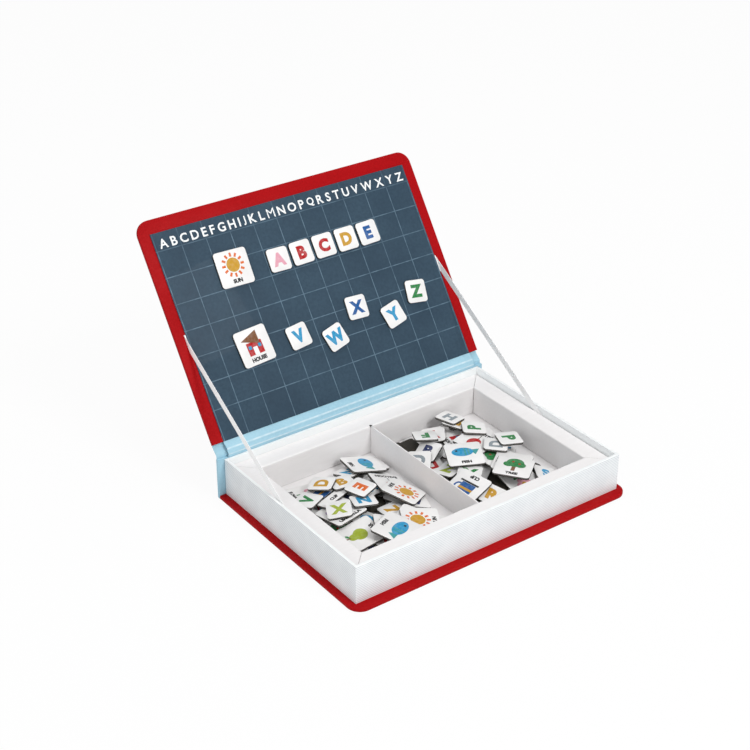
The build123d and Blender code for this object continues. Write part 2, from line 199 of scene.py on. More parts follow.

# %% [markdown]
# ## Printed cover papers
# The covers are grey board wrapped in paper that was printed red and given a matt varnish; the spine and
# the hinge are the same paper in light blue. Such paper shows faint cloudy ink, a fine tooth under the
# varnish and a roughness that varies a little, so a few sizes of noise are enough. Where the inner hinge
# paper folds, a pale stripe on each crease is painted highlight, and the folds lie at known heights above the floor.

# %% Cover papers
def printed_paper(name, colour, darker, lighter, rough, folds=()):
    """Cover paper in one colour, with a pale stripe painted on as highlight along folds at some heights in
    millimetres.
    """
    paper = Finish(name, Specular_IOR_Level=0.08)
    cloud = paper.noise(28 * mm).step(0.3, 0.7)
    speck = paper.noise(0.9 * mm, 2.0).step(0.35, 0.75)
    tone = paper.mix(speck * 0.35, paper.mix(cloud, colour, darker), lighter)
    for height in folds:
        fold = 1 - (paper.z - height * mm).math("ABSOLUTE").step(0.1 * mm, 0.8 * mm)
        # Painted highlight: a pale stripe along each fold stands in for the light that the crease catches.
        crease_highlight = fold * (0.3 + 0.35 * paper.noise(3 * mm).step(0.35, 0.65))
        tone = paper.mix(crease_highlight, tone, ink(232, 241, 246))
    paper.set("Base Color", tone)
    paper.set("Roughness", rough + 0.12 * cloud - 0.06 * speck)
    paper.bump(paper.noise(0.35 * mm, 4.0) * 0.6 + paper.noise(2.4 * mm) * 0.8, 0.05 * mm, 0.5)
    return paper


red_inks = ink(166, 6, 13), ink(158, 5, 11), ink(176, 14, 20)
blue_inks = ink(166, 207, 224), ink(156, 198, 216), ink(178, 216, 231)
red_paper = printed_paper("red_paper", *red_inks, 0.5)
blue_paper = printed_paper("blue_paper", *blue_inks, 0.55)
liner_paper = printed_paper("blue_liner_paper", *blue_inks, 0.55, folds=(37.3, 41.3))
print("cover papers:", red_paper.material.name, blue_paper.material.name, liner_paper.material.name)

# %% [markdown]
# ## White papers and boards
# The tray's outer paper is printed with fine lines, so that the closed book looks as if it had pages. The
# lines are a pattern on the height alone, and only on the faces that look outwards. The card inside is
# plain, with the faint long fibres of folding board.

# %% White papers and boards
tray_side, tray_front, tray_back = 124.35 * mm, -83.45 * mm, 88.25 * mm  # just inside its outer faces
page_pitch = 1.46 * mm


def page_paper_finish():
    paper = Finish("page_paper", Specular_IOR_Level=0.35)
    outside = (paper.x.math("ABSOLUTE") - tray_side).math("MAXIMUM", tray_front - paper.y)
    outside = outside.math("MAXIMUM", paper.y - tray_back).math("GREATER_THAN", 0.0)
    below_rim = 1 - paper.z.step(33.6 * mm, 34.2 * mm)
    waver = paper.noise(30 * mm) * 0.16 * mm
    pages = (paper.z + waver).line(page_pitch, 0.14 * mm, 0.36 * mm) * outside * below_rim
    broken = pages * (0.75 + 0.25 * paper.noise(7 * mm).step(0.35, 0.6))
    cloud = paper.noise(60 * mm)
    white = paper.mix(cloud, ink(243, 246, 246), ink(240, 243, 244))
    paper.set("Base Color", paper.mix(broken, white, ink(198, 204, 208)))
    paper.set("Roughness", 0.66 + 0.06 * cloud)
    paper.bump(paper.noise(0.35 * mm, 3.0) * 0.2 - broken, 0.06 * mm, 0.6)
    return paper


def white_card_finish():
    card = Finish("white_card", Specular_IOR_Level=0.35)
    stretched = card.node("Mapping", {}, {"Vector": card.place, "Scale": (0.25, 1.0, 1.0)})
    fibre = card.noise(1.1 * mm, 5.0, stretched).step(0.3, 0.75)
    cloud = card.noise(60 * mm)
    tone = card.mix(cloud, ink(240, 238, 238), ink(236, 234, 234))
    card.set("Base Color", card.mix(fibre * 0.2, tone, ink(226, 223, 222)))
    card.set("Roughness", 0.6 + 0.12 * fibre)
    card.bump(fibre * 0.5 + card.noise(0.3 * mm, 3.0) * 0.5, 0.02 * mm, 0.4)
    return card


def grey_board_finish():
    board = Finish("grey_board", Specular_IOR_Level=0.2)
    fleck = board.noise(0.8 * mm, 4.0).step(0.45, 0.6)
    pulp = board.noise(6 * mm).step(0.3, 0.7)
    tone = board.mix(pulp, ink(150, 144, 134), ink(163, 157, 147))
    board.set("Base Color", board.mix(fleck * 0.4, tone, ink(118, 112, 103)))
    board.set("Roughness", 0.85 + 0.1 * pulp)
    board.bump(fleck, 0.08 * mm, 0.6)
    return board


page_paper = page_paper_finish()
white_card = white_card_finish()
grey_board = grey_board_finish()
print("white papers:", page_paper.material.name, white_card.material.name)

# %% [markdown]
# ## The slate print
# The board inside the lid is a printed sheet over steel: a blue-grey slate colour with soft blotches and a
# thin, slightly worn grid of pale lines. Height up the board is a dot product with the board's own
# direction, so the grid follows it at any lean.

# %% Slate print
grid_pitch_x, grid_pitch_y, grid_first_y = 21.76 * mm, 21.46 * mm, 31.2 * mm
grid_line, grid_soft = 0.22 * mm, 0.28 * mm


def slate_finish():
    slate = Finish("slate_print", Specular_IOR_Level=0.16)
    up = slate.dot(up_lid) - up_lid.dot(hinge)
    line_x = (slate.x + grid_pitch_x * 20.5).line(grid_pitch_x, grid_line, grid_soft)
    line_y = (up - grid_first_y + grid_pitch_y * 4).line(grid_pitch_y, grid_line, grid_soft)
    line_y = line_y * up.step(18 * mm, 20 * mm)
    fade_top = 1 - 0.55 * up.step(157 * mm, 162 * mm)
    grid = line_x.math("MAXIMUM", line_y) * fade_top
    wear = 0.45 + 0.55 * slate.noise(3.5 * mm, 4.0).step(0.38, 0.62)
    blotch = slate.noise(16 * mm, 4.0).step(0.3, 0.7)
    grain = slate.noise(1.2 * mm, 3.0).step(0.35, 0.7)
    tone = slate.mix(blotch, ink(50, 70, 86), ink(58, 79, 95))
    tone = slate.mix(grain * 0.35, tone, ink(42, 60, 76))
    slate.set("Base Color", slate.mix(grid * wear * 0.7, tone, ink(108, 134, 152)))
    slate.set("Roughness", 0.55 + 0.12 * blotch)
    slate.set("Coat Weight", 0.02)
    slate.bump(grain * 0.6 + slate.noise(0.4 * mm, 3.0) * 0.4, 0.04 * mm, 0.5)
    return slate


def steel_finish():
    steel = Finish("steel", Metallic=1.0)
    drawn = steel.node("Mapping", {}, {"Vector": steel.place, "Scale": (0.03, 1.0, 1.0)})
    streak = steel.noise(0.5 * mm, 4.0, drawn)
    steel.set("Base Color", steel.mix(streak, ink(168, 170, 174), ink(196, 198, 201)))
    steel.set("Roughness", 0.3 + 0.2 * streak)
    steel.bump(streak, 0.01 * mm, 0.4)
    return steel


slate_print = slate_finish()
steel = steel_finish()
print("slate grid pitch", round(grid_pitch_x / mm, 2), "by", round(grid_pitch_y / mm, 2), "mm")

# %% [markdown]
# ## Tape, tiles and printing inks
# The tapes are woven white ribbon, so their weave follows the tape itself through a UV map in millimetres.
# A tile is a white coated card on a dark magnetic sheet, and its letter or picture is printed in flat inks.
# The card's cut sides are dark brown: partly its core, and partly painted shade on the tile sides.
# Every print carries its ink as a colour attribute, so one finish serves them all.

# %% Tape, tile and ink finishes
tape_half = 2.8  # half the tape's width, in millimetres


def tape_finish():
    tape = Finish("white_tape", Specular_IOR_Level=0.2)
    woven = tape.node("UVMap", {"uv_map": "weave"}, {})
    u = tape.node("SeparateXYZ", {}, {0: woven}, "X")
    v = tape.node("SeparateXYZ", {}, {0: woven}, "Y")
    weft = v.math("PINGPONG", 0.5) * 2.0
    warp = (u + 0.35 * (v * math.pi).math("SINE")).math("PINGPONG", 0.4) * 2.5
    edge = 1 - (u - tape_half).math("ABSOLUTE").step(2.2, 2.5)
    thread = weft * 0.5 + warp * 0.5 * edge
    tape.set("Base Color", tape.mix(thread.step(0.1, 0.8), ink(244, 244, 245), ink(254, 254, 253)))
    tape.set("Roughness", 0.9 - 0.1 * thread)
    tape.bump(thread, 0.06 * mm, 0.4)
    return tape


def tile_card_finish():
    card = Finish("tile_card", Specular_IOR_Level=0.25)
    cloud = card.noise(7 * mm).step(0.3, 0.7)
    card.set("Base Color", card.mix(cloud, ink(240, 239, 238), ink(233, 232, 231)))
    card.set("Roughness", 0.38 + 0.12 * cloud)
    card.set("Coat Weight", 0.1)
    card.bump(card.noise(0.5 * mm, 3.0), 0.02 * mm, 0.5)
    return card


def tile_side_core_and_shade_finish():
    # Tile sides: a brown core colour, darkened further as painted shade on the card's cut edges.
    core_and_shade = Finish("tile_side_core_and_shade", Specular_IOR_Level=0.15)
    ply = core_and_shade.noise(0.7 * mm, 4.0).step(0.35, 0.7)
    core_and_shade.set("Base Color", core_and_shade.mix(ply, ink(62, 58, 48), ink(38, 35, 30)))
    core_and_shade.set("Roughness", 0.85 + 0.1 * ply)
    core_and_shade.bump(ply, 0.05 * mm, 0.6)
    return core_and_shade


def tile_magnet_finish():
    magnet = Finish("tile_magnet", Specular_IOR_Level=0.3)
    dust = magnet.noise(0.6 * mm, 4.0).step(0.4, 0.7)
    magnet.set("Base Color", magnet.mix(dust, ink(38, 35, 29), ink(60, 56, 48)))
    magnet.set("Roughness", 0.6 + 0.2 * dust)
    magnet.bump(dust, 0.05 * mm, 0.5)
    return magnet


def print_finish(name, rough):
    printed = Finish(name, Specular_IOR_Level=0.12)
    colour = printed.node("Attribute", {"attribute_name": "ink"}, {}, "Color")
    patchy = printed.noise(1.3 * mm, 3.0).step(0.3, 0.75)
    pale = printed.mix(0.08, colour, (1.0, 1.0, 1.0, 1.0))
    printed.set("Base Color", printed.mix(patchy, colour, pale))
    printed.set("Roughness", rough + 0.12 * patchy)
    printed.bump(patchy, 0.01 * mm, 0.4)
    return printed


white_tape = tape_finish()
tile_card = tile_card_finish()
tile_side_core_and_shade = tile_side_core_and_shade_finish()
tile_magnet = tile_magnet_finish()
tile_print = print_finish("tile_print", 0.36)
board_print = print_finish("board_print", 0.5)
print("tile finishes:", tile_card.material.name, tile_magnet.material.name, tile_print.material.name)

# %% [markdown]
# ## Pieces from the frame
# A board that is wrapped in paper has no knife edge: the paper turns over it with a small radius. A copy of
# the CAD piece, its triangles joined again into whole faces, takes a bevel on its sharp edges and stands in
# for the original.

# %% Softened boards
paper_edge = 0.377 * mm  # faces narrower than this are a paper's own edge, too thin to round


def piece(name, bm, finishes, body, stands_for=(), smooth=25):
    """A finished object from a bmesh, riding on a body."""
    mesh = bpy.data.meshes.new(name)
    bm.to_mesh(mesh)
    bm.free()
    for finish in finishes:
        mesh.materials.append(finish.material)
    mesh.shade_smooth()
    mesh.set_sharp_from_angle(angle=math.radians(smooth))
    made = bpy.data.objects.new(name, mesh)
    bpy.context.scene.collection.objects.link(made)
    if body:
        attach(made, body)
    if stands_for:
        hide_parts(*stands_for)
    return made


def merged(node):
    """A copy of a CAD node with its loose triangles joined into whole faces."""
    bm = bmesh.new()
    bm.from_mesh(nodes[node].data)
    bmesh.ops.remove_doubles(bm, verts=bm.verts, dist=1e-6)
    bmesh.ops.dissolve_limit(bm, angle_limit=math.radians(0.5), verts=bm.verts, edges=bm.edges)
    return bm


def round_edges(bm, edges, radius, segments=3):
    bmesh.ops.bevel(
        bm, geom=edges, offset=radius, offset_type="OFFSET", affect="EDGES", segments=segments, profile=0.5,
        material=-1, clamp_overlap=True,
    )


def sharp_edges(bm, angle=50):
    return [e for e in bm.edges if len(e.link_faces) == 2 and e.calc_face_angle(0) > math.radians(angle)]


def breadth(face):
    """About how wide a face is across its longest edge."""
    return face.calc_area() / max(edge.calc_length() for edge in face.edges)


softened = {
    "back_wrap": (0.55, red_paper, "tray", "red_paper"),
    "lid_wrap": (0.55, red_paper, "lid", "red_paper"),
    "spine_wrap": (0.35, blue_paper, "tray", "blue_paper"),
    "page_wrap": (0.30, page_paper, "tray", "page_paper"),
    "grid_panel": (0.12, slate_print, "lid", "slate_print"),
    "divider": (0.20, white_card, "tray", "white_card"),
}
for node, (radius, finish, body, slot) in softened.items():
    bm = merged(node)
    round_edges(bm, [e for e in sharp_edges(bm) if min(map(breadth, e.link_faces)) > paper_edge], radius * mm)
    made = piece(node + "_finished", bm, [finish], body, [node])
    print(made.name, len(made.data.polygons), "faces")

# %% [markdown]
# ## Pieces that keep their CAD shape
# The folded rails, the boards under the paper and the steel sheet are already right in shape, down to the
# folds and the slits. They only get the finish of their material, apart from the spine board: the blue
# paper is turned in over the one edge of it that shows, above the tray.

# %% Finishes on CAD pieces
finish_of = {
    "grey_board": grey_board, "white_card": white_card, "steel": steel, "red_paper": red_paper,
    "blue_paper": blue_paper, "page_paper": page_paper, "slate_print": slate_print, "white_tape": white_tape,
    "tile": tile_card,
}
slot_of = {s["node"]: s["material_slot"] for s in frame["record"]["subparts"]}
for name, node in nodes.items():
    finish = blue_paper if name == "spine_board" else finish_of[slot_of[name]]
    node.data.materials.clear()
    node.data.materials.append(finish.material)
print("finished", len(nodes), "CAD nodes")

# %% [markdown]
# ## Hinge papers
# Two strips of the blue paper are the hinge. The outer one joins the spine to the lid; the inner one lines
# the spine and runs up under the slate board, and the many openings have pressed two long creases in it.
# Each is one profile drawn along the hinge and given its thickness.

# %% Hinge papers
def ribbon(profile, half_width, columns=24):
    """A strip drawn along X from a profile of (Y, Z) points in millimetres."""
    bm = bmesh.new()
    row = [bm.verts.new((-half_width * mm, y * mm, z * mm)) for y, z in profile]
    edges = [bm.edges.new(pair) for pair in zip(row, row[1:])]
    for _ in range(columns):
        step = bmesh.ops.extrude_edge_only(bm, edges=edges)["geom"]
        edges = [g for g in step if isinstance(g, bmesh.types.BMEdge)]
        moved = [g for g in step if isinstance(g, bmesh.types.BMVert)]
        bmesh.ops.translate(bm, verts=moved, vec=(2 * half_width * mm / columns, 0, 0))
    return bm


def lid_yz(y, z):
    """(Y, Z) in millimetres of a point of the lid frame."""
    point = on_lid(0, y, z) / mm
    return point.y, point.z


def thicken(bm, thickness):
    bmesh.ops.recalc_face_normals(bm, faces=bm.faces)
    bmesh.ops.solidify(bm, geom=bm.faces[:], thickness=thickness)
    bmesh.ops.recalc_face_normals(bm, faces=bm.faces)


outer_profile = [
    (91.65, 34.5), (91.65, 35.3), (91.62, 36.1), (91.72, 36.9), (92.1, 37.7),
    lid_yz(3.2, -0.05), lid_yz(4.6, -0.14), lid_yz(5.7, -0.15), lid_yz(6.6, -0.15),
]
liner_profile = [
    (88.95, 3.1), (88.95, 12.0), (88.95, 22.0), (88.95, 30.5), (88.95, 33.6), (88.93, 34.9), (88.85, 35.9),
    (88.6, 36.8), (88.75, 37.6), (89.35, 38.5), (89.85, 39.6), (90.05, 40.5), (90.75, 41.3), (91.6, 42.3),
    lid_yz(4.4, 2.95), lid_yz(5.6, 2.86), lid_yz(6.6, 2.85), lid_yz(11.6, 2.85),
]
for node, profile, half_width, finish in (
    ("hinge_strip", outer_profile, 129.6, blue_paper), ("hinge_liner", liner_profile, 120.6, liner_paper),
):
    bm = ribbon(profile, half_width)
    thicken(bm, 0.28 * mm)
    paper = piece(node + "_paper", bm, [finish], None, [node], smooth=60)
    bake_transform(paper)
    2 * half_width * mm
    print(paper.name, len(paper.data.polygons), "faces")

# %% [markdown]
# ## Lid tapes
# Two woven tapes stop the lid. Each is glued under the slate board, leaves it edge on, and runs taut to a
# slot beside the ledge, where its tail is glued to the tray's wall. It is a strip of small quads with a
# tab folded at the lid.

# %% Lid tapes
tape_x, tape_rib, tab_width = 121.9, 0.9, 4.3
tape_lid = Vector((0, *lid_yz(86.2, 2.75)))
tape_ledge = Vector((0, 8.0, 29.1))
along_tape = (tape_ledge - tape_lid).normalized()
across_tape = Vector((0, -along_tape.z, along_tape.y))
slant = across_tape.dot(out_lid) / along_tape.dot(out_lid)
tail = 26.0
tape_run = (tape_ledge - tape_lid).length + tail


def tape_piece(side, name, node):
    """One tape, from its tab under the board to the end of its tail; side is -1 or 1."""
    bm = bmesh.new()
    middle = tape_lid + Vector((side * tape_x, 0, 0))
    start = [middle + across_tape * k - along_tape * slant * k for k in (-tape_half, -tape_rib, tape_rib, tape_half)]
    row = [bm.verts.new(p * mm) for p in start]
    edges = [bm.edges.new(pair) for pair in zip(row, row[1:])]
    steps, first = 60, edges
    for _ in range(steps):
        grown = bmesh.ops.extrude_edge_only(bm, edges=edges)["geom"]
        edges = [g for g in grown if isinstance(g, bmesh.types.BMEdge)]
        for vert in (g for g in grown if isinstance(g, bmesh.types.BMVert)):
            width = (vert.co / mm - middle).dot(across_tape)
            vert.co += along_tape * (tape_run + slant * width) * mm / steps
    tab = bmesh.ops.extrude_edge_only(bm, edges=first)["geom"]
    tab = [g for g in tab if isinstance(g, bmesh.types.BMVert)]
    bmesh.ops.translate(bm, verts=tab, vec=(-side * tab_width * mm, 0, 0))
    bmesh.ops.recalc_face_normals(bm, faces=bm.faces)
    weave = bm.loops.layers.uv.new("weave")
    for face in bm.faces:
        for loop in face.loops:
            out = loop.vert.co / mm - middle
            loop[weave].uv = (out.dot(across_tape) + tape_half, out.dot(along_tape) + abs(out.x))
    bmesh.ops.solidify(bm, geom=bm.faces[:], thickness=0.3 * mm)
    made = piece(name, bm, [white_tape], None, [node], smooth=40)
    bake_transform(made)
    low = middle + along_tape * tape_run
    tip = middle - along_tape * abs(slant) * tape_half
    round((low - tip).length * mm, 4)
    [tuple(tip.lerp(low, k / 20) * mm) for k in range(21)]
    return made


for side, name, node in ((-1, "tape_left", "lid_tape_left"), (1, "tape_right", "lid_tape_right")):
    made = tape_piece(side, name, node)
    print(made.name, "runs", round(tape_run), "mm")

# %% [markdown]
# ## Printed letters
# Blender's own font makes the capitals. A text object is made a mesh once for each letter and kept, and
# every print is a copy of it laid a hair above the card with its ink as a colour attribute.

# %% Letters
inks = {
    "red": ink(176, 20, 24), "ochre": ink(196, 148, 38), "lime": ink(156, 172, 48), "green": ink(34, 124, 62),
    "light_blue": ink(40, 146, 192), "blue": ink(16, 84, 150), "navy": ink(32, 46, 92), "grey": ink(136, 146, 152),
    "orange": ink(214, 100, 26), "pink": ink(222, 158, 174), "dark": ink(20, 18, 20), "white": ink(238, 240, 240),
    "brown": ink(122, 78, 46), "teal": ink(60, 150, 150), "violet": ink(140, 96, 168),
}
letter_meshes = {}


def letter_mesh(text, spread=0.058):
    """Flat mesh of some bold text, its capitals 1 high and its middle at the origin."""
    if (text, spread) not in letter_meshes:
        curve = bpy.data.curves.new("letters", "FONT")
        curve.body = text
        curve.offset = spread
        curve.resolution_u = 4
        source = bpy.data.objects.new("letters", curve)
        bpy.context.scene.collection.objects.link(source)
        bpy.context.view_layer.update()
        mesh = bpy.data.meshes.new_from_object(source)
        bpy.data.objects.remove(source)
        co = np.array([v.co for v in mesh.vertices])
        low, high = co.min(0), co.max(0)
        to_origin = Matrix.Translation((-(low[0] + high[0]) / 2, -(low[1] + high[1]) / 2, 0))
        mesh.transform(Matrix.Scale(1 / (high[1] - low[1]), 4) @ to_origin)
        letter_meshes[text, spread] = mesh
    return letter_meshes[text, spread]


def lay_mesh(bm, mesh, matrix, colour, material=None):
    """Adds a copy of a mesh to a bmesh, with its ink and, where one is given, its material."""
    layer = bm.loops.layers.float_color.get("ink") or bm.loops.layers.float_color.new("ink")
    copy = mesh.copy()
    copy.transform(matrix)
    known = len(bm.faces)
    bm.from_mesh(copy)
    bpy.data.meshes.remove(copy)
    bm.faces.ensure_lookup_table()
    for face in bm.faces[known:]:
        if material is not None:
            face.material_index = material
        for loop in face.loops:
            loop[layer] = inks[colour]


def row_letter(c):
    """A capital of the printed row; an M has no room to grow bolder between its strokes."""
    return letter_mesh(c, 0.0 if c == "M" else 0.022)


alphabet = "ABCDEFGHIJKLMNOPQRSTUVWXYZ"
row_left, row_right, row_middle, row_height, capital = -116.0, 117.0, 165.2, 3.53, 7.4
bm = bmesh.new()
across = [[v.co.x for v in row_letter(c).vertices] for c in alphabet]
widths = [max(xs) - min(xs) for xs in across]
gap = ((row_right - row_left) - capital * sum(widths)) / (len(alphabet) - 1)
x = row_left
for c, width in zip(alphabet, widths):
    x += capital * width / 2
    spot = lid_frame @ Matrix.Translation(Vector((x, row_middle, row_height)) * mm)
    lay_mesh(bm, row_letter(c), spot @ Matrix.Scale(capital * mm, 4), "white", 0)
    x += capital * width / 2 + gap
letters = piece("board_alphabet", bm, [board_print], "lid")
print(letters.name, len(letters.data.polygons), "faces, gap", round(gap, 2), "mm")

# %% [markdown]
# ## Little pictures
# The larger tiles show simple flat pictures with a word under each: a sun, a house, a fish and so on. Each
# is a few patches, every one a circle with some number of sides that is stretched, turned and laid on the
# last, as cut paper is. A row gives sides, x, y, width, height, turn and ink.

# %% Pictures
def patch(bm, sides, x, y, wide, high, turn, colour, level, place, material):
    """One flat patch in millimetres: sides 4 is a box, 3 a triangle, and many a disc."""
    shape = bmesh.new()
    radius = math.sqrt(0.5) if sides == 4 else 0.5
    turned = Matrix.Rotation(math.radians(45 if sides == 4 else 90 if sides == 3 else 0), 4, "Z")
    size = Matrix.Diagonal((wide * mm, high * mm, 1, 1))
    spot = Matrix.Translation(Vector((x, y, 0.02 * level)) * mm) @ Matrix.Rotation(math.radians(turn), 4, "Z")
    bmesh.ops.create_circle(shape, cap_ends=True, radius=radius, segments=sides, matrix=spot @ size @ turned)
    mesh = bpy.data.meshes.new("patch")
    shape.to_mesh(mesh)
    shape.free()
    lay_mesh(bm, mesh, place, colour, material)
    bpy.data.meshes.remove(mesh)


pictures = {
    "sun": [(4, 0, 3, 17, 1.6, a, "orange") for a in (0, 30, 60, 90, 120, 150)]
    + [(28, 0, 3, 11.5, 11.5, 0, "white"), (28, 0, 3, 10, 10, 0, "ochre")],
    "house": [(4, 0, -0.5, 12, 9, 0, "red"), (3, 0, 6.4, 18, 11, 0, "brown"), (4, 0, -2.3, 3.4, 5.4, 0, "white"),
              (4, -3.8, 0.6, 2.4, 2.4, 0, "light_blue"), (4, 3.8, 0.6, 2.4, 2.4, 0, "light_blue")],
    "fish": [(3, 7.4, 3, 8, 8, 90, "teal"), (28, -1, 3, 15, 9.5, 0, "light_blue"), (4, 0.8, 3, 1.2, 8.2, 0, "teal"),
             (4, 3.2, 3, 1.2, 6.6, 0, "teal"), (16, -5, 4.4, 1.8, 1.8, 0, "dark")],
    "tree": [(4, 0, -1, 2.6, 8, 0, "brown"), (28, 0, 6, 12, 11, 0, "green"), (16, -4.2, 3.4, 7, 6.6, 0, "green"),
             (16, 4.2, 3.4, 7, 6.6, 0, "green"), (12, -1.5, 7, 1.8, 1.8, 0, "red"), (12, 3, 5, 1.8, 1.8, 0, "red")],
    "flower": [(4, 0, -1.5, 1.2, 9, 0, "green"), (16, 2.8, -2.5, 5, 2.2, 30, "green")]
    + [(16, 3.6 * math.cos(a), 5 + 3.6 * math.sin(a), 5.2, 5.2, 0, "pink") for a in (0, 1.257, 2.513, 3.77, 5.027)]
    + [(20, 0, 5, 4.4, 4.4, 0, "ochre")],
    "cup": [(20, 5.6, 3, 6.4, 7, 0, "blue"), (20, 5.6, 3, 3.6, 4.2, 0, "white"), (4, -0.5, 3, 11, 10, 0, "blue"),
            (4, -0.5, 3, 11, 1.8, 0, "ochre"), (4, 0, -2.9, 15, 1.4, 0, "dark")],
    "umbrella": [(4, 0, 1, 1, 14, 0, "dark"), (28, 0, 5.2, 17, 9, 0, "violet"), (4, 0, 1.9, 18, 3.8, 0, "white"),
                 (4, 0, 0.6, 1, 10, 0, "dark")],
    "balloon": [(4, 0, -2, 0.5, 8, 4, "dark"), (28, 0, 5, 9.6, 11.4, 0, "red"), (3, 0, -1.2, 2, 1.8, 0, "red"),
                (16, -2.2, 7.4, 2, 3, -20, "pink")],
    "moon": [(28, 0, 3.4, 12.5, 12.5, 0, "navy"), (28, 3.4, 4.8, 10.4, 10.4, 0, "white"),
             (5, 4, 6, 3.4, 3.4, 12, "ochre")],
    "pear": [(24, 0, 1.4, 10.5, 9.6, 0, "lime"), (20, 0, 6, 6, 7.2, 0, "lime"), (4, 0.6, 9.8, 0.9, 3, -14, "brown"),
             (14, 2.6, 9.6, 3.8, 1.7, 25, "green")],
}
print("pictures:", ", ".join(pictures))

# %% [markdown]
# ## Tiles
# A tile is a printed card on a magnetic sheet, die-cut with rounded corners, so both layers share one
# outline. A square takes a bevel at its four corners, is extruded, and gets small rounded rims. The CAD
# says where each tile lies: its flat top, its longest straight edge and its two layers give its pose.

# %% Tile maker
letter_size, picture_size, corner_radius, magnet_thick, card_thick = 19.0, 29.0, 2.5, 0.8, 1.2


def slab(bm, size, low, thick, radius, rim, colour, material, side, place):
    """One rounded layer of a tile, added to a bmesh."""
    layer = bmesh.new()
    bmesh.ops.create_grid(layer, x_segments=1, y_segments=1, size=size * mm / 2)
    bmesh.ops.bevel(
        layer, geom=layer.verts[:], offset=radius * mm, offset_type="OFFSET", affect="VERTICES", segments=5,
        profile=0.5, material=-1,
    )
    grown = bmesh.ops.extrude_face_region(layer, geom=layer.faces[:])["geom"]
    bmesh.ops.translate(layer, verts=[g for g in grown if isinstance(g, bmesh.types.BMVert)], vec=(0, 0, thick * mm))
    bmesh.ops.holes_fill(layer, edges=layer.edges[:], sides=0)
    bmesh.ops.recalc_face_normals(layer, faces=layer.faces[:])
    round_edges(layer, sharp_edges(layer, 60), rim * mm, 2)
    for face in layer.faces:
        face.material_index = side if abs(face.normal.z) < 0.3 else material
    bmesh.ops.translate(layer, verts=layer.verts[:], vec=(0, 0, low * mm))
    mesh = bpy.data.meshes.new("layer")
    layer.to_mesh(mesh)
    layer.free()
    lay_mesh(bm, mesh, place, colour)
    bpy.data.meshes.remove(mesh)


def tile_places(node):
    """Matrices and sizes of a node's tiles: origin in the middle of the underside, z up out of the card."""
    bm = bmesh.new()
    bm.from_mesh(nodes[node].data)
    bmesh.ops.remove_doubles(bm, verts=bm.verts, dist=1e-6)
    waiting = set(bm.verts)
    found = []
    while waiting:
        island, edge_of_island = [], [waiting.pop()]
        while edge_of_island:
            vert = edge_of_island.pop()
            island.append(vert)
            for edge in vert.link_edges:
                other = edge.other_vert(vert)
                if other in waiting:
                    waiting.remove(other)
                    edge_of_island.append(other)
        faces = {f for v in island for f in v.link_faces}
        normal = max(faces, key=lambda f: f.calc_area()).normal.copy()
        normal *= 1 if normal.z > 0 else -1
        heights = [v.co.dot(normal) for v in island]
        low, high = min(heights), max(heights)
        top = [v.co for v, h in zip(island, heights) if h > high - 0.1 * mm]
        middle = sum(top, Vector()) / len(top)
        side = normal.orthogonal().normalized()
        other_side = normal.cross(side)
        around = sorted(top, key=lambda p: math.atan2((p - middle).dot(other_side), (p - middle).dot(side)))
        pairs = list(zip(around, around[1:] + around[:1]))
        a, b = max(pairs, key=lambda ab: (ab[1] - ab[0]).length)
        heading = (b - a).normalized()
        span = max((p - q).dot(heading) for p in top for q in top)
        size = picture_size if span > 24 * mm else letter_size
        base = middle - normal * (high - low)
        place = Matrix((heading, normal.cross(heading), normal)).transposed().to_4x4()
        found.append((Matrix.Translation(base) @ place, size))
    bm.free()
    return sorted(found, key=lambda f: tuple(round(v, 4) for v in f[0].translation))


tile_layers = [tile_card, tile_magnet, tile_print, tile_side_core_and_shade]
picture_spot = Matrix.Translation((0, -1.0 * mm, 0)) @ Matrix.Scale(1.16, 4)
word_spot = Matrix.Translation((0, -10.4 * mm, 0)) @ Matrix.Scale(3.5 * mm, 4)


def quarter(turns):
    return Matrix.Rotation(math.pi / 2 * turns, 4, "Z")


def printed_tile(bm, place, size, mark, colour):
    """Both layers of one tile, and its letter, or its picture and word."""
    slab(bm, size - 0.1, 0.0, magnet_thick, corner_radius, 0.12, "dark", 1, 1, place)
    slab(bm, size, magnet_thick, card_thick, corner_radius, 0.24, "white", 0, 3, place)
    face = place @ Matrix.Translation((0, 0, (magnet_thick + card_thick + 0.02) * mm))
    if size == letter_size:
        lay_mesh(bm, letter_mesh(mark), face @ Matrix.Scale(11.0 * mm, 4), colour, 2)
        return
    for level, row in enumerate(pictures[mark]):
        patch(bm, *row, level, face @ picture_spot, 2)
    lay_mesh(bm, letter_mesh(mark.upper(), 0.07), face @ word_spot, "dark", 2)


print("tile places found in pile_left:", len(tile_places("pile_left")))

# %% [markdown]
# ## Tiles on the board
# Twelve tiles cling to the slate: two pictures, a straight row of letters and five scattered ones. Their
# prints stand the right way up, so of the four ways a square can be turned, the one nearest the board's own
# direction is taken.

# %% Board tiles
board_marks = {
    "picture_tile_upper": ("sun", None), "picture_tile_lower": ("house", None),
    "row_tile_1": ("A", "pink"), "row_tile_2": ("B", "red"), "row_tile_3": ("C", "red"),
    "row_tile_4": ("D", "ochre"), "row_tile_5": ("E", "blue"),
    "scattered_tile_1": ("V", "light_blue"), "scattered_tile_2": ("W", "light_blue"),
    "scattered_tile_3": ("X", "blue"), "scattered_tile_4": ("Y", "light_blue"), "scattered_tile_5": ("Z", "green"),
}


def upright(place):
    """The same tile turned by quarters until its print stands up on the board."""
    return max((place @ quarter(k) for k in range(4)), key=lambda m: m.col[0].to_3d().x)


for node, (mark, colour) in board_marks.items():
    (place, size), = tile_places(node)
    bm = bmesh.new()
    printed_tile(bm, upright(place), size, mark, colour)
    piece(node + "_printed", bm, tile_layers, node + "_body", [node], smooth=30)
print("printed", len(board_marks), "board tiles")

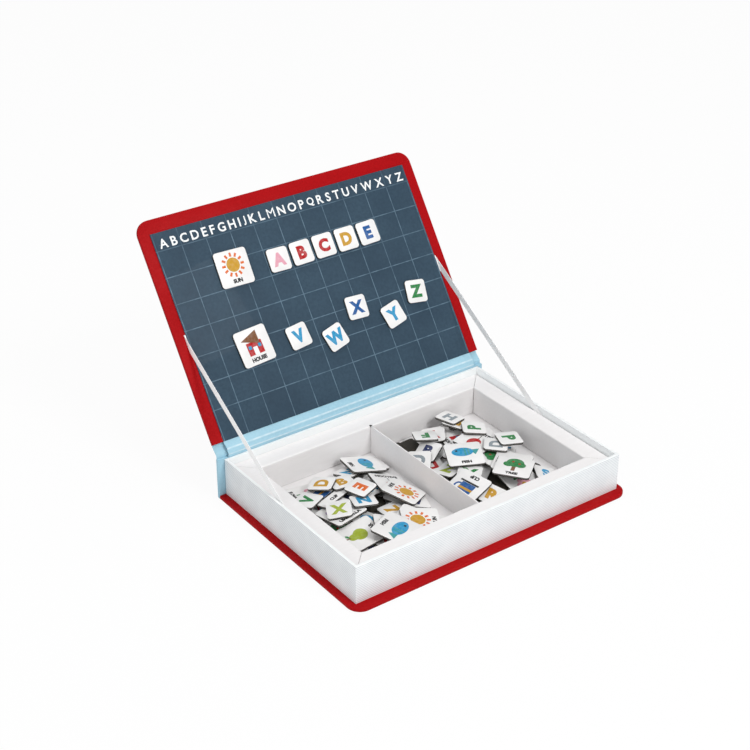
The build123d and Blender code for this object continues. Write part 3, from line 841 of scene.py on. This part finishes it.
# %% [markdown]
# ## Tiles in the tray
# The piles lie as they fell. Letters, inks and turns are drawn from a seeded generator, so that every run
# prints the same tiles. Some of the lowest tiles lie face down, as in any heap that was tipped out, and the
# loose ones on top each ride on a body of their own.

# %% Loose tiles
draw = random.Random(26)
low_layer, face_down_share = 7.5 * mm, 0.4
letter_inks = ["red", "ochre", "lime", "green", "light_blue", "blue", "navy", "grey", "orange", "light_blue"]
turned_over = Matrix.Translation((0, 0, (magnet_thick + card_thick) * mm)) @ Matrix.Rotation(math.pi, 4, "X")
deck = []


def any_mark(size):
    """A letter and its ink, or the next picture of a shuffled deck."""
    if size == letter_size:
        return draw.choice(alphabet), draw.choice(letter_inks)
    if not deck:
        deck.extend(draw.sample(list(pictures), len(pictures)))
    return deck.pop(), None


for side in ("left", "right"):
    bm = bmesh.new()
    for place, size in tile_places("pile_" + side):
        if place.translation.z < low_layer and draw.random() < face_down_share:
            place = place @ turned_over
        printed_tile(bm, place @ quarter(draw.randrange(4)), size, *any_mark(size))
    heap = piece("pile_" + side + "_printed", bm, tile_layers, "tray", ["pile_" + side], smooth=30)
    print(heap.name, len(heap.data.polygons), "faces")
    for i in range(1, 6):
        node = f"loose_tile_{side}_{i}"
        (place, size), = tile_places(node)
        bm = bmesh.new()
        printed_tile(bm, place @ quarter(draw.randrange(4)), size, *any_mark(size))
        piece(node + "_printed", bm, tile_layers, node + "_body", [node], smooth=30)

# %% [markdown]
# ## Floor and light
# The book stands in a bright white studio. The floor and the world look white to the camera, while lamps
# and a plain grey world light the object at the level at which a colour renders about as it is written.

# %% Floor
bm = bmesh.new()
bmesh.ops.create_grid(bm, x_segments=1, y_segments=1, size=4.0)
floor_mesh = bpy.data.meshes.new("floor")
bm.to_mesh(floor_mesh)
bm.free()
floor = bpy.data.objects.new("floor", floor_mesh)
bpy.context.scene.collection.objects.link(floor)
floor_paint = Finish("floor", Roughness=0.9, Specular_IOR_Level=0.1)
floor_paint.set("Base Color", floor_paint.mix(floor_paint.noise(0.4), ink(238, 238, 239), ink(242, 242, 243)))
seen = floor_paint.node("LightPath", {}, {}, "Is Camera Ray").math(
    "MAXIMUM", floor_paint.node("LightPath", {}, {}, "Is Glossy Ray")
)
glow = floor_paint.node("Emission", {}, {"Color": (1, 1, 1, 1), "Strength": 1.0})
both = floor_paint.node("MixShader", {}, {0: seen * 0.94})
floor_paint.tree.links.new(floor_paint.shader.outputs[0], both.socket.node.inputs[1])
floor_paint.tree.links.new(glow.socket, both.socket.node.inputs[2])
floor_paint.tree.links.new(both.socket, floor_paint.tree.nodes["Material Output"].inputs["Surface"])
floor_mesh.materials.append(floor_paint.material)
print("floor", floor.name)

# %% Lights
world = bpy.data.worlds.new("studio")
world.use_nodes = True
bpy.context.scene.world = world
backdrop = world.node_tree.nodes["Background"]
backdrop.inputs["Color"].default_value = (1, 1, 1, 1)
backdrop.inputs["Strength"].default_value = 0.47
path = world.node_tree.nodes.new("ShaderNodeLightPath")
plain_white = world.node_tree.nodes.new("ShaderNodeBackground")
plain_white.inputs["Color"].default_value = (1, 1, 1, 1)
plain_white.inputs["Strength"].default_value = 1.0
choose = world.node_tree.nodes.new("ShaderNodeMixShader")
either = world.node_tree.nodes.new("ShaderNodeMath")
either.operation = "MAXIMUM"
world.node_tree.links.new(path.outputs["Is Camera Ray"], either.inputs[0])
world.node_tree.links.new(path.outputs["Is Transmission Ray"], either.inputs[1])
world.node_tree.links.new(either.outputs[0], choose.inputs[0])
world.node_tree.links.new(backdrop.outputs[0], choose.inputs[1])
world.node_tree.links.new(plain_white.outputs[0], choose.inputs[2])
world.node_tree.links.new(choose.outputs[0], world.node_tree.nodes["World Output"].inputs["Surface"])


def soft_lamp(name, place, power, size):
    """A square lamp that looks at the book."""
    data = bpy.data.lights.new(name, "AREA")
    data.energy, data.size = power, size
    lamp = bpy.data.objects.new(name, data)
    bpy.context.scene.collection.objects.link(lamp)
    lamp.location = place
    lamp.rotation_euler = (Vector((0, 0.03, 0.05)) - Vector(place)).to_track_quat("-Z", "Y").to_euler()


soft_lamp("key", (0.3, -1.3, 1.4), 17.5, 0.6)
soft_lamp("fill", (-1.5, -0.6, 0.9), 7.0, 1.1)
soft_lamp("top", (0.0, 0.4, 1.9), 6.5, 1.2)
bpy.context.scene.view_settings.view_transform = "Standard"
print("three lamps and a plain world")
